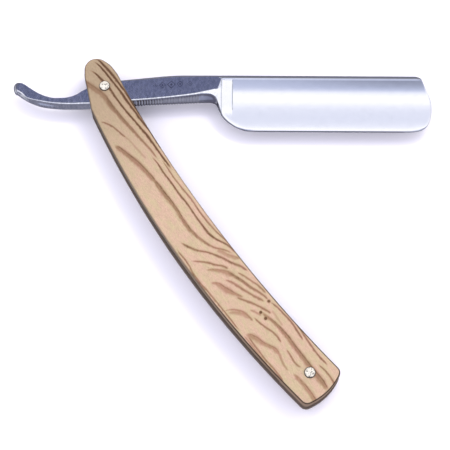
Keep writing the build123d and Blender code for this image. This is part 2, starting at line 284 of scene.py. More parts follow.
def wood_edges(t, colour, s, z, gap_shade):
    """The wood's colour with painted shade on its walls, a painted dark arris line and painted shade
    on the inner faces that look into the gap.
    """
    level = t.level()
    towards_butt = t.step(s, 55.0, 105.0)
    # Painted shade on the side walls, where the surface turns away from facing up.
    wall = t.mix(t.step(s, 22.0, 45.0), HEAD_WALL_SHADE, MIDDLE_WALL_SHADE)
    wall = t.mix(towards_butt, wall, BUTT_WALL_SHADE)
    wall = t.mix(t.step(z, MID_Z, MID_Z - 1.0), wall, LOWER_WALL_SHADE)
    colour = t.mix(t.mul(t.step(level, 0.80, 0.45), 0.85), colour, wall)
    # Painted shade: a dark line where the rounded edges turn from the faces to the walls.
    line = t.mul(t.step(level, 0.96, 0.84), t.step(level, 0.45, 0.62))
    colour = t.mix(t.mul(line, t.add(0.35, t.mul(towards_butt, 0.6))), colour, ARRIS_SHADE)
    # Painted shade on the faces that look into the gap between the scales.
    depth = t.size(t.sub(z, MID_Z))
    facing = t.mul(t.step(depth, 3.2, 2.6), t.step(level, 0.3, 0.6))
    return t.mix(t.mul(facing, gap_shade), colour, GAP_SHADE)


def wood(name, light, dark, gap_shade=0.0):
    """Light wood whose brown streaks come from the pieces' own "streak" attribute. The last argument
    is how much painted shade darkens the faces that look into the gap between the scales."""
    skin, t = material(name)
    s, side, z = t.place(HANDLE_ANGLE)
    fibre = t.noise(t.mul(s, 0.3), t.mul(side, 4.0), t.mul(z, 0.6), 4.0, 0.7)
    cloud = t.noise(t.mul(s, 0.22), t.mul(side, 0.5), t.add(z, 3.0), 3.0, 0.6)
    grain = t.noise(t.mul(s, 1.6), t.mul(side, 3.2), z, 2.0, 0.7)
    pores = t.step(t.noise(t.mul(s, 0.9), t.mul(side, 9.0), z, 2.0), 0.58, 0.70)
    # Slow changes between a yellower and a pinker wood, painted shade that darkens the pivot end,
    # and finer changes of tone.
    warm = t.mix(t.step(cloud, 0.36, 0.64), times(light, YELLOWER), times(light, PINKER))
    # Painted shade: the wood and its streaks darker towards the pivot end, where the light falls off.
    head = t.step(s, 55.0, -10.0)
    warm = t.mix(head, warm, times(light, HEAD_SHADE))
    dark = t.mix(head, dark, times(dark, 0.8))
    tone = t.add(t.mul(t.sub(fibre, 0.5), 1.3), t.mul(t.sub(grain, 0.5), 1.3))
    base = t.mix(t.add(tone, 0.5), t.dim(warm, DARK_FIBRE), t.dim(warm, PALE_FIBRE))
    # A streak goes from the light wood through brown to dark.
    uneven = t.remap(t.add(fibre, grain), 0.7, 1.3, 0.78, 1.12)
    streak = t.math("MULTIPLY", t.attribute("streak"), uneven, clamp=True)
    colour = t.mix(t.remap(streak, 0.0, 0.6), base, t.dim(warm, STREAK_BROWN))
    colour = t.mix(t.remap(streak, 0.6, 1.0), colour, dark)
    colour = t.mix(t.mul(pores, 0.22), colour, dark)
    hollows = t.add(t.mul(pores, 0.5), t.mul(streak, 0.25))
    t.principled({
        "Base Color": wood_edges(t, colour, s, z, gap_shade),
        "Roughness": t.remap(fibre, 0.3, 0.7, 0.42, 0.58),
        "Specular IOR Level": 0.2,
        "Normal": t.bump(t.sub(t.mul(t.add(fibre, grain), 0.4), hollows), 0.05),
    })
    return skin


# ------------------------------------------------------------------ steel
# The etched lozenges on the shank: middle, half length and half height.
LOZENGES = (
    (18.3, 1.6, 0.8, 0.8), (20.9, 1.8, 1.3, 1.4), (24.1, 2.0, 1.6, 1.7), (27.3, 2.2, 1.3, 1.4),
    (30.9, 2.4, 1.0, 1.1),
)
STEEL_SHADE = (0.26, 0.24, 0.29)  # painted shade on the blade's underside, grooves, tail tip and honed edge, against polished steel
MIRROR_RIM = (0.62, 0.64, 0.70)  # tint of the reflections at grazing angles


def etching(t, x, y):
    """A faint etched row of lozenges on the shank, 0 to 1."""
    total = 0.0
    for middle_x, middle_y, half_long, half_tall in LOZENGES:
        along = t.size(t.math("DIVIDE", t.sub(x, middle_x), half_long))
        away = t.add(along, t.size(t.math("DIVIDE", t.sub(y, middle_y), half_tall)))
        ring = t.mul(t.step(away, 1.0, 0.92), t.step(away, 0.70, 0.78))
        core = t.step(away, 0.34, 0.26)
        total = t.high(total, t.high(ring, core))
    return total


def steel(name, tint, rough, is_blade=False):
    """Polished steel with fine brush lines and a little haze."""
    skin, t = material(name)
    x, y, z = t.place()
    lines = t.noise(t.mul(x, 7.0), t.mul(y, 0.3), z, 3.0, 0.6)
    haze = t.noise(t.mul(x, 0.35), t.mul(y, 0.5), t.mul(z, 0.3), 4.0, 0.6)
    shade = t.add(t.mul(t.sub(haze, 0.5), 0.22), t.mul(t.sub(lines, 0.5), 0.10))
    etch_and_shade = 0.0
    if is_blade:
        # The shank and tail are more mottled than the ground blade.
        mottle = t.noise(t.mul(x, 1.1), t.mul(y, 0.5), z, 4.0, 0.75)
        behind_shoulder = t.step(x, 41.5, 40.5)
        shade = t.add(shade, t.mul(t.mul(t.sub(mottle, 0.5), 2.2), behind_shoulder))
        # The etching, and painted shade on the underside, grooves, tail tip and honed edge, which the
        # blade mesh carries as an attribute.
        etch_and_shade = t.high(t.mul(etching(t, x, y), 0.8), t.mul(t.attribute("dull"), 0.42))
    brightest = tuple(min(1.0, c) for c in times(tint, 1.25))
    colour = t.mix(t.add(shade, 0.5), times(tint, 0.72), brightest)
    t.principled({
        "Base Color": t.mix(etch_and_shade, colour, times(tint, STEEL_SHADE)),
        "Metallic": 1.0,
        "Roughness": t.remap(haze, 0.3, 0.7, rough * 0.8, rough * 1.25),
        "Specular Tint": MIRROR_RIM,
        "Normal": t.bump(lines, 0.004, 0.3),
    })
    return skin


def hammered(name, tint):
    """Bright, peened steel heads with a painted shade rim and dents painted darker as dark
    reflections.
    """
    skin, t = material(name)
    x, y, z = t.place()
    dents = t.noise(t.mul(x, 1.5), t.mul(y, 1.5), t.mul(z, 1.5), 2.0, 0.6)
    # Painted reflection: the dents darkened where the peened facets would mirror the dark room.
    colour = t.mix(t.step(dents, 0.50, 0.36), tint, times(tint, 0.3))
    # Painted shade: a dark rim where the head turns steeply down.
    rim = t.step(t.level(), 0.88, 0.74)
    t.principled({
        "Base Color": t.mix(rim, colour, (0.05, 0.038, 0.03)),
        "Metallic": 0.45,
        "Roughness": t.remap(dents, 0.3, 0.7, 0.5, 0.36),
        "Normal": t.bump(dents, 0.12, 0.8),
    })
    return skin


# ------------------------------------------------------------------ blade
def hermite(u, width, start, end, leaving, arriving):
    """A smooth curve between two values with given slopes, at u of the way across width."""
    first = (2 * u**3 - 3 * u**2 + 1) * start + (u**3 - 2 * u**2 + u) * width * leaving
    return first + (3 * u**2 - 2 * u**3) * end + (u**3 - u**2) * width * arriving


def spline(points):
    """A smooth function through (place, value) points that doesn't overshoot between them."""
    at, value = np.array(points, float).T
    rise = np.diff(value) / np.diff(at)
    slope = np.zeros_like(value)
    slope[0], slope[-1] = rise[0], rise[-1]
    for k in range(1, len(value) - 1):
        if rise[k - 1] * rise[k] > 0:
            slope[k] = 2 * rise[k - 1] * rise[k] / (rise[k - 1] + rise[k])

    def value_at(x):
        x = np.clip(x, at[0], at[-1])
        k = np.clip(np.searchsorted(at, x, side="right") - 1, 0, len(rise) - 1)
        width = at[k + 1] - at[k]
        u = (x - at[k]) / width
        return hermite(u, width, value[k], value[k + 1], slope[k], slope[k + 1])

    return value_at


def smooth(x, low, high):
    """Smooth 0 to 1 as x goes from low to high."""
    u = np.clip((x - low) / (high - low), 0, 1)
    return u * u * (3 - 2 * u)


def soft(x, width):
    """x where it is positive and 0 where it isn't, rounded over width."""
    return (x + np.sqrt(x * x + width * width)) / 2


# Lengthwise lines of the tail, tang and shank: top, ridge under the flat face, end of the
# bevel below it and bottom of the underside.
SHANK = (
    (-32.1, 2.95, 0.5, 0.45, -1.75), (-31.0, 2.9, -1.4, -1.43, -2.5),
    (-30.0, 2.5, -2.4, -2.44, -3.3), (-28.1, 1.2, -3.4, -3.48, -4.5),
    (-25.9, -0.3, -4.05, -4.13, -5.55), (-23.6, -1.6, -4.5, -4.6, -6.4),
    (-21.3, -2.5, -4.95, -5.06, -6.9), (-18.3, -3.1, -5.35, -5.48, -7.25),
    (-15.0, -3.0, -5.55, -5.75, -7.45), (-12.6, -2.5, -5.6, -5.8, -7.45),
    (-10.6, -1.7, -5.55, -5.75, -7.45), (-8.6, -0.3, -5.45, -5.65, -7.4),
    (-4.0, 2.1, -5.3, -5.5, -7.05), (0.0, 3.4, -4.9, -5.1, -6.75), (5.8, 4.2, -4.35, -4.55, -6.35),
    (11.2, 4.8, -3.9, -4.1, -5.95), (17.3, 5.5, -3.4, -3.62, -5.5), (23.5, 6.1, -2.75, -3.0, -5.15),
    (28.0, 6.3, -2.2, -2.5, -4.9), (32.8, 6.3, -1.5, -1.9, -4.65), (35.8, 6.3, -0.85, -1.5, -4.45),
    (38.2, 6.3, -0.3, -1.6, -4.4), (39.8, 6.3, 0.02, -2.4, -4.75), (40.7, 6.3, 0.12, -3.4, -5.5),
    (41.3, 6.3, 0.3, -5.1, -6.9), (41.9, 6.3, 2.0, -6.7, -8.3), (42.5, 6.3, 3.2, -8.4, -9.6),
    (43.3, 6.3, 3.0, -10.0, -10.75), (45.8, 6.3, 0.0, -12.5, -13.0),
    (48.7, 6.3, -3.0, -14.3, -14.75), (52.1, 6.3, -5.3, -15.0, -15.75),
    (56.5, 6.3, -5.3, -15.1, -15.9), (60.0, 6.3, -5.3, -15.1, -15.9),
)
TOP, RIDGE, BEVEL, BOTTOM = (spline([(row[0], row[k]) for row in SHANK]) for k in (1, 2, 3, 4))
# The ridge as it would run on without the shoulder: the flat face's lower end.
FLAT_RIDGE = spline([(row[0], row[2]) for row in SHANK if row[0] < 41] + [(44.0, 0.3)])
CROWN_DROP = spline([(-34, 0.35), (-8, 0.5), (6, 0.9), (20, 1.15), (40, 1.2), (43.5, 1.9), (60, 1.9)])
FACE_HALF = spline([(-34, 1.25), (-8, 1.5), (8, 1.5), (42.5, 2.3)])
CROWN_HALF = spline([(-34, 1.25), (-8, 1.5), (8, 1.5), (41.5, 2.28), (43.2, 2.6), (60, 2.6)])
SHOULDER_X, HOLLOW_X = 42.5, 46.4  # end of the shank and start of the hollow grind
EDGE_FROM, EDGE_FULL = 46, 57  # the underside turns into the plain edge between these
CROWN_Y, FLAT_Y, FLAT_HALF, FLAT_FLARE = 4.4, 3.7, 2.43, 0.17
BEVEL_SLOPE, STRIP_SLOPE, FACET_SLOPE = 0.0963, 0.1615, 0.2  # half thickness lost per mm
FACET_X, FACET_Y = 41.0, 0.1  # a point on the line where the shank's end facet starts
FACET_RUN, FACET_RISE, FACET_LENGTH = 1.35, 4.3, 4.507  # that line's direction
GROOVE_DEPTH, GROOVE_WIDTH = 0.15, 0.12  # the short groove in front of the shoulder
RIM_WIDTH, RIM_SLOPE = 0.8, 0.12  # the narrow rim along the heel
BLADE_BAND, SHANK_BAND = 0.7, 0.25  # height of the flat band under the crown
THINNEST = 0.02
GRIP_FROM, GRIP_TO, GRIP_DEPTH = 11.35, 34.6, 0.3

# Slope of the hollow grind in degrees, from the edge up to the honing flat.
GRIND = spline([
    (-15.9, 34), (-15.6, 34), (-15.5, 8.5), (-15.15, 8.5), (-14.9, 4.5), (-13.7, 2.4), (-12.6, 2.0),
    (-11.1, 1.8), (-9.6, 2.0), (-7.0, 2.8), (-4.8, 4.8), (-2.6, 7.8), (-0.4, 11.8), (1.5, 17.0),
    (3.0, 21.5), (FLAT_Y, 24.0),
])
GRIND_Y = np.linspace(EDGE_Y, FLAT_Y, 400)
GRIND_RISE = np.tan(np.radians(GRIND((GRIND_Y[1:] + GRIND_Y[:-1]) / 2)))
GRIND_H = np.concatenate([[0], np.cumsum(GRIND_RISE * np.diff(GRIND_Y))])
GRIND_H *= FLAT_HALF / GRIND_H[-1]


def honing_flat(y):
    """Half the thickness of the flat band along the back, thicker towards the crown."""
    return FLAT_HALF + (y - FLAT_Y) / (CROWN_Y - FLAT_Y) * FLAT_FLARE


def hollow_half(y, bottom=EDGE_Y):
    """Half the blade's thickness at y, in the hollow-ground length; bottom is the edge there."""
    y = y - (bottom - EDGE_Y) * np.exp((bottom - y) / 1.5)
    return np.where(y > FLAT_Y, honing_flat(y), np.interp(y, GRIND_Y, GRIND_H))


def strip_half(y):
    """Half the thickness of the flat strip between the shank and the hollow grind, which it meets
    lower down."""
    wedge = FLAT_HALF - STRIP_SLOPE * (FLAT_Y - y)
    return np.where(y > FLAT_Y, honing_flat(y), hollow_half(y) + soft(wedge - hollow_half(y), 0.03))


def shank_half(x, y):
    """Half the thickness of the tail, tang and shank: flat faces, a bevel below and a facet at
    the end."""
    below = soft(FLAT_RIDGE(x) - y, 0.12)
    past = ((x - FACET_X) * FACET_RISE - (y - FACET_Y) * FACET_RUN) / FACET_LENGTH
    return FACE_HALF(x) - BEVEL_SLOPE * below - FACET_SLOPE * soft(past, 0.10)


def face_half(x, y, bottom, lean):
    """Half the blade's thickness at (x, y), with a narrow rim along the heel."""
    strip = strip_half(y)
    lowest = min(bottom, EDGE_Y + 1.5) if x > EDGE_FULL else EDGE_Y
    hollow = smooth(x, HOLLOW_X - 0.2, HOLLOW_X + 0.2)
    blade = strip + (hollow_half(y, lowest) - strip) * hollow
    groove = GROOVE_DEPTH * np.exp(-(((x - SHOULDER_X + 0.05) / GROOVE_WIDTH) ** 2))
    groove = groove * smooth(y, -7.5, -5.0) * smooth(-y, -4.2, -3.4)
    past = smooth(x, SHOULDER_X - 0.1, SHOULDER_X + 0.12)
    half = shank_half(x, y) * (1 - past) + blade * past - groove
    rim = soft(RIM_WIDTH - (y - bottom) * lean, 0.1) * smooth(x, 41.6, 43.0) * smooth(-x, -58, -50)
    return np.maximum(half - RIM_SLOPE * rim, THINNEST)


def jimps(x):
    """Depth of the grip grooves on the underside at x, 0 to 1; they are 1 mm apart."""
    wave = 0.5 + 0.5 * np.cos(2 * math.pi * (x - GRIP_FROM - 0.5))
    return np.where((x > GRIP_FROM) & (x < GRIP_TO), wave**1.4, 0.0)


# The toe: its outline as (y, x), and the ends of the top and bottom lines as (x, y).
TOE_FROM, TOE_TOP_X, TOE_BOTTOM_X = 104.0, 114.6, 115.9
TOE_LINE = spline([
    (-14.5, TOE_BOTTOM_X), (-13.1, 117.2), (-10.0, 118.4), (-7.7, 118.75), (-6.0, TOE), (-4.5, 118.75),
    (-2.3, 118.2), (1.6, 116.6), (4.6, 115.3), (5.85, TOE_TOP_X),
])
TOE_TOP = spline([(112.6, 6.3), (113.6, 6.25), (TOE_TOP_X, 5.85)])
TOE_BOTTOM = spline([
    (105.0, -15.9), (108.0, -15.89), (111.0, -15.8), (113.4, -15.5), (114.8, -15.1),
    (TOE_BOTTOM_X, -14.5),
])
TOE_BEVEL = 0.8
# The toe's rounded rim: how far inside the outline, and how much is off the half thickness.
TOE_RIM = ((0.14, 0.0), (0.05, 0.03), (0.0, 0.12))

TIP_X, TIP_Y = -32.1, 1.0  # centre of the tail's rounded end
TIP_UP, TIP_DOWN = 1.95, 2.75
TIP_TURN = np.linspace(0.35 * math.pi, -0.5 * math.pi, 60)
TIP_ARC = np.stack([
    TIP_X + (TAIL_TIP - TIP_X) * np.cos(TIP_TURN),
    TIP_Y + np.where(TIP_TURN > 0, TIP_UP, TIP_DOWN) * np.sin(TIP_TURN),
], 1)
TIP_UNDER = np.array([(x, float(BOTTOM(x))) for x in np.linspace(TIP_X, -25.0, 80)])
TIP_OUTLINE = np.concatenate([TIP_ARC, TIP_UNDER])
DOME_FROM, DOME_FULL, DOME_WIDTH = -28.5, -31.2, 1.4  # the tail's soft, round end

# Runs of columns along the blade: from, to and about how far apart.
COLUMN_RUNS = (
    (TIP_X, -30.1, 0.1), (-30.1, 11.1, 0.4), (11.1, 35.1, 0.125), (35.1, 40.0, 0.3),
    (40.0, 43.6, 0.08), (43.6, 46.1, 0.25), (46.1, 46.7, 0.05), (46.7, 57.0, 0.35),
    (57.0, TOE_FROM, 1.5),
)
CROWN_ROWS = 10
# The underside's curve on the tang, at the heel and at the edge: how far down and how thick its
# first and second control points are, as shares.
NOSE_TANG = np.array((0.45, 0.5, 1.0, 0.45))
NOSE_HEEL = np.array((0.3, 0.95, 1.0, 0.55))
NOSE_EDGE = np.array((0.5, 2 / 3, 0.8, 1 / 3))


def cosine(count):
    """0 to 1 in count steps, closer together near both ends."""
    return 0.5 - 0.5 * np.cos(np.linspace(0, math.pi, count + 1))


def blade_columns():
    """Places along the blade, closer together where its shape changes quickly."""
    cap = TAIL_TIP + (TIP_X - TAIL_TIP) * (1 - np.cos(np.linspace(0.12, math.pi / 2, 24)))
    parts = [cap[:-1]]
    for start, stop, step in COLUMN_RUNS:
        parts.append(np.linspace(start, stop, int(round((stop - start) / step)) + 1)[:-1])
    return np.concatenate(parts)


def bezier(u, start, first, second, end):
    """A cubic curve at u, from its ends and two control values."""
    near = (1 - u) ** 3 * start + 3 * (1 - u) ** 2 * u * first
    return near + 3 * (1 - u) * u**2 * second + u**3 * end


def underside(x, bevel, bottom, start):
    """Heights and half thicknesses below the bevel, where the half thickness is start: a steep
    curve with a rounded nose on the tang, which turns into the heel and the plain edge."""
    edge = smooth(x, EDGE_FROM, EDGE_FULL)
    heel = smooth(x, 40.7, 42.6) * (1 - edge)
    nose = (1 - edge - heel) * NOSE_TANG + heel * NOSE_HEEL + edge * NOSE_EDGE
    down1, thick1, down2, thick2 = nose
    deep = bevel - bottom
    u = np.linspace(0, 1, 15)[1:]
    y = bezier(u, bevel, bevel - down1 * deep, bevel - down2 * deep, bottom)
    h = bezier(u, start, thick1 * start, thick2 * start, 0.0)
    h = h + edge * (hollow_half(y, bottom) - h)
    cut = GRIP_DEPTH * float(jimps(np.array(x))) * smooth(u, 0.0, 0.25)
    h = np.where(h > 0, np.maximum(h - cut * (1 - u**2), 0), 0)
    return y + cut * u**2 * 0.8, h


def outline_distance(x, y):
    """How far each point is inside the outline of the tail's end."""
    outline_x, outline_y = TIP_OUTLINE.T
    return np.array([np.hypot(a - outline_x, b - outline_y).min() for a, b in zip(x, y)])


def blade_column(x, bend=0.0):
    """Points (x, y, half thickness) down one column, from the middle of the back to the edge.
    bend goes from 0 to 1 where the columns after TOE_FROM turn into the toe's outline."""
    left = np.clip((TIP_X - x) / (TIP_X - TAIL_TIP), 0, 1)
    round_off = math.sqrt(max(1 - left * left, 0.01))
    top, ridge, bevel, bottom = (float(line(x)) for line in (TOP, RIDGE, BEVEL, BOTTOM))
    if bend:
        top = float(TOE_TOP(TOE_FROM + bend * (TOE_TOP_X - TOE_FROM)))
        bottom = float(TOE_BOTTOM(TOE_FROM + bend * (TOE_BOTTOM_X - TOE_FROM)))
        bevel = bottom + TOE_BEVEL
    if left > 0:
        squeezed = (TIP_Y + (v - TIP_Y) * round_off for v in (top, ridge, bevel, bottom))
        top, ridge, bevel, bottom = squeezed
    drop = float(CROWN_DROP(x)) * (round_off if left > 0 else 1)
    half = float(CROWN_HALF(x))
    radius = (half**2 + drop**2) / (2 * drop)
    h = half * np.sin(np.linspace(0, math.pi / 2, CROWN_ROWS))
    y = top - (radius - np.sqrt(radius**2 - h**2))
    crown = top - drop
    past = smooth(x, 42, 43.5)
    knee = crown - BLADE_BAND * past - SHANK_BAND * (1 - past)
    lower = [crown + (knee - crown) * cosine(4)[1:]]
    lower.append(knee + (ridge - knee) * cosine(22)[1:])
    lower.append(ridge + (bevel - ridge) * cosine(12)[1:])
    lower = np.concatenate(lower)
    steep = (float(BOTTOM(x + 0.05)) - float(BOTTOM(x - 0.05))) / 0.1
    lean = 1 / math.hypot(1, steep)
    face = hollow_half(lower, bottom) if bend else face_half(x, lower, bottom, lean)
    nose_y, nose_h = underside(x, bevel, bottom, face[-1])
    y = np.concatenate([y, lower, nose_y])
    h = np.concatenate([h, face, nose_h])
    px = np.full_like(y, x)
    if x < DOME_FROM:
        # The ridge fades out and the faces thin towards the outline.
        inside = np.clip(outline_distance(px, y) / DOME_WIDTH, 0, 1)
        dome = half * (0.12 + 0.88 * np.sqrt(1 - (1 - inside) ** 2))
        dome = np.minimum(dome, np.where(np.arange(len(y)) < CROWN_ROWS, h, half))
        h = h + (dome - h) * smooth(-x, -DOME_FROM, -DOME_FULL)
    h[-1] = 0.0
    if bend:
        px = TOE_FROM + bend * (TOE_LINE(y) - TOE_FROM)
    return np.stack([px, y, h], 1)


def closed(mesh):
    """The mesh with its seams joined, its slivers gone and its faces turned outward."""
    shape = bmesh.new()
    shape.from_mesh(mesh)
    bmesh.ops.remove_doubles(shape, verts=shape.verts, dist=1e-6)
    bmesh.ops.dissolve_degenerate(shape, edges=shape.edges, dist=1e-7)
    bmesh.ops.recalc_face_normals(shape, faces=shape.faces)
    shape.to_mesh(mesh)
    shape.free()
    mesh.shade_smooth()
    return mesh


def painted_shade_at(x, y):
    """How much painted shade darkens each point of the blade against the polished faces: the
    underside with its grooves and heel, the tail's tip and the honed edge."""
    under = smooth(BEVEL(x) - y, 0.0, 0.3) * smooth(-x, -56, -50)
    tail = 0.85 * under * smooth(x, -31.0, -27.0)
    shank = smooth(x, 8, 12) * under * (1.45 + 0.6 * jimps(x))
    heel = 1.9 * smooth(x, 29.0, 38.5) * under
    tip = np.zeros_like(x)
    near = x < -27
    tip[near] = 1 - smooth(outline_distance(x[near], y[near]), 0.7, 1.9)
    tip = 0.95 * smooth(-x, 28.0, 30.0) * tip
    honed = 1.5 * smooth(-y, 15.4, 15.55) * smooth(x, 50, 56) * smooth(-x, -112, -106)
    return np.maximum.reduce([tail, tip, shank, heel, honed])


def blade_mesh():
    """The blade as a grid of columns on each side, closed at both ends."""
    columns = [blade_column(x) for x in blade_columns()]
    for bend in np.linspace(0, 1, 26)[1:-1]:
        columns.append(blade_column(TOE_FROM, bend))
    last = blade_column(TOE_FROM, 1.0)
    for inset, trim in TOE_RIM:
        rim = last.copy()
        rim[:, 0] -= inset
        rim[:, 2] = np.where(rim[:, 2] > 0, np.maximum(rim[:, 2] - trim, rim[:, 2] * 0.3), 0)
        columns.append(rim)
    grid = np.array(columns)
    count, rows = grid.shape[:2]
    points = [(x, y, MID_Z + h) for x, y, h in grid.reshape(-1, 3)]
    number = np.arange(count * rows).reshape(count, rows)
    rear = number.copy()
    for i in range(count):
        for j in range(1, rows - 1):
            x, y, h = grid[i, j]
            rear[i, j] = len(points)
            points.append((x, y, MID_Z - h))
    faces = []
    for i in range(count - 1):
        for j in range(rows - 1):
            faces.append((number[i, j], number[i, j + 1], number[i + 1, j + 1], number[i + 1, j]))
            faces.append((rear[i, j], rear[i + 1, j], rear[i + 1, j + 1], rear[i, j + 1]))
    for i, flip in ((0, False), (count - 1, True)):
        for j in range(rows - 1):
            ring = (number[i, j], rear[i, j], rear[i, j + 1], number[i, j + 1])
            ring = list(dict.fromkeys(ring))  # each corner once, where both sides share it
            faces.append(tuple(ring[::-1] if flip else ring))
    points = np.array(points)
    mesh = bpy.data.meshes.new("blade_steel")
    mesh.from_pydata((points * MM).tolist(), [], [tuple(int(v) for v in face) for face in faces])
    # Painted shade carried on the mesh for the steel's colour.
    dull = mesh.attributes.new("dull", "FLOAT", "POINT")
    dull.data.foreach_set("value", painted_shade_at(points[:, 0], points[:, 1]).astype(np.float32))
    return closed(mesh)


# ------------------------------------------------------------------ scales
OUTER_ROUND, INNER_ROUND = 0.9, 0.3
BUTT_ROUND = 1.7  # how far each corner's rounding runs along the edges
BOW_FROM, BOW_LENGTH = 4.0, 120.2
VEIN_OFFSET, VEIN_WIDTH, VEIN_GAIN = 0.5, 0.17, 0.45  # a wide streak's darker line

# The handle's outline in its own frame: the rounded end, then the two long sides and the butt
# as arcs through three points.
UPPER_START, LOWER_START = (4.2, 5.8), (5.0, -9.0)
UPPER_END, LOWER_END = (134.3, 9.3), (137.2, -7.8)
UPPER_MIDDLE, LOWER_MIDDLE, BUTT_MIDDLE = (65.3, 3.1), (69.5, -14.1), (137.8, 0.0)
HEAD_LINE = (
    LOWER_START, (-2.4, -6.0), (-8.6, -3.3), (-11.3, -1.1), (-12.0, 1.6), (-10.7, 4.3),
    (-7.4, 6.1), (-2.6, 6.6), UPPER_START,
)


def arc(start, middle, end, count):
    """Points on the circle arc through three points."""
    start, middle, end = (np.array(v, float) for v in (start, middle, end))
    a, b = middle - start, end - start
    cross = 2 * (a[0] * b[1] - a[1] * b[0])
    offset = np.array([b[1] * (a @ a) - a[1] * (b @ b), a[0] * (b @ b) - b[0] * (a @ a)])
    centre = start + offset / cross
    angles = np.unwrap([math.atan2(*(v - centre)[::-1]) for v in (start, middle, end)])
    turn = np.linspace(angles[0], angles[2], count)
    return centre + np.linalg.norm(start - centre) * np.stack([np.cos(turn), np.sin(turn)], 1)


def rounded(first, second):
    """Two lines of points joined by a short curve in place of their shared corner."""
    keep_first = np.linalg.norm(first - first[-1], axis=1) > BUTT_ROUND
    keep_second = np.linalg.norm(second - second[0], axis=1) > BUTT_ROUND
    a, b, corner = first[keep_first][-1], second[keep_second][0], second[0]
    u = np.linspace(0, 1, 14)[1:-1, None]
    bend = (1 - u) ** 2 * a + 2 * u * (1 - u) * corner + u**2 * b
    return np.concatenate([first[keep_first], bend, second[keep_second]])


def travelled(points):
    """How far along the line each of its points is."""
    return np.concatenate([[0], np.cumsum(np.linalg.norm(np.diff(points, axis=0), axis=1))])


def through(points, count):
    """A smooth line through points in the plane."""
    points = np.array(points, float)
    run = travelled(points)
    slope = np.gradient(points, run, axis=0)
    at = np.linspace(0, run[-1], count)
    k = np.clip(np.searchsorted(run, at, side="right") - 1, 0, len(run) - 2)
    width = (run[k + 1] - run[k])[:, None]
    u = (at - run[k])[:, None] / width
    return hermite(u, width, points[k], points[k + 1], slope[k], slope[k + 1])


def even(points, count):
    """The same line with count evenly spaced points, a little closer together at both ends."""
    run = travelled(points)
    u = np.linspace(0, 1, count)
    u = u - 0.048 * np.sin(2 * math.pi * u) * np.exp(-12 * np.minimum(u, 1 - u))
    at = np.clip(u, 0, 1) * run[-1]
    return np.stack([np.interp(at, run, points[:, k]) for k in (0, 1)], 1)


def handle_sides(count):
    """The handle's outline as two lines from the tip of its rounded end to the butt's middle."""
    head = through(HEAD_LINE, 600)
    tip = int(np.argmin(head[:, 0]))
    upper = np.concatenate([head[tip:-1], arc(UPPER_START, UPPER_MIDDLE, UPPER_END, 500)])
    lower = np.concatenate([head[tip:0:-1], arc(LOWER_START, LOWER_MIDDLE, LOWER_END, 500)])
    butt = arc(UPPER_END, BUTT_MIDDLE, LOWER_END, 121)
    return even(rounded(upper, butt[:61]), count), even(rounded(lower, butt[60:][::-1]), count)


def streak_at(s, t, seed):
    """How much brown streak there is at (s, t) on a scale: 0 for none, 1 and up for darkest."""
    at = [Vector((0.14 * a, 0.35 * b, seed)) for a, b in zip(s, t)]
    wander = np.array([noise.noise(v) for v in at])
    fine = np.array([noise.noise(v * 6.0) for v in at])
    across = t + 0.28 * wander + 0.10 * fine
    total = np.zeros_like(s)
    for start_width, end_width, strength, *points in STREAKS:
        first, last = points[0], points[-1]
        share = (s - first[0]) / (last[0] - first[0])
        inside = (share > 0) & (share < 1)
        lean = math.hypot(1.0, (last[1] - first[1]) / (last[0] - first[0]))
        ends = smooth(share, 0.0, 0.16) * smooth(-share, -1.0, -0.86)
        width = (start_width + (end_width - start_width) * share) * (0.35 + 0.65 * ends)
        width = width * lean * (1.15 + 0.35 * fine)
        away = (across - spline(points)(s)) / width
        body = 1 - smooth(np.abs(away), 0.4, 1.5)
        # Wide streaks have a darker line along their upper side.
        vein = VEIN_GAIN * np.exp(-(((away - VEIN_OFFSET) * width / VEIN_WIDTH) ** 2))
        vein = vein * smooth(width, 0.5, 0.9)
        amount = strength * smooth(ends, 0.0, 0.6) * (body + vein)
        total = np.where(inside, np.maximum(total, amount), total)
    for at_s, at_t, radius, strength in KNOTS:
        away = np.hypot(s - at_s, t - at_t) / radius
        total = np.maximum(total, KNOT_GAIN * strength * (1 - smooth(away, 0.5, 1.3)))
    return total


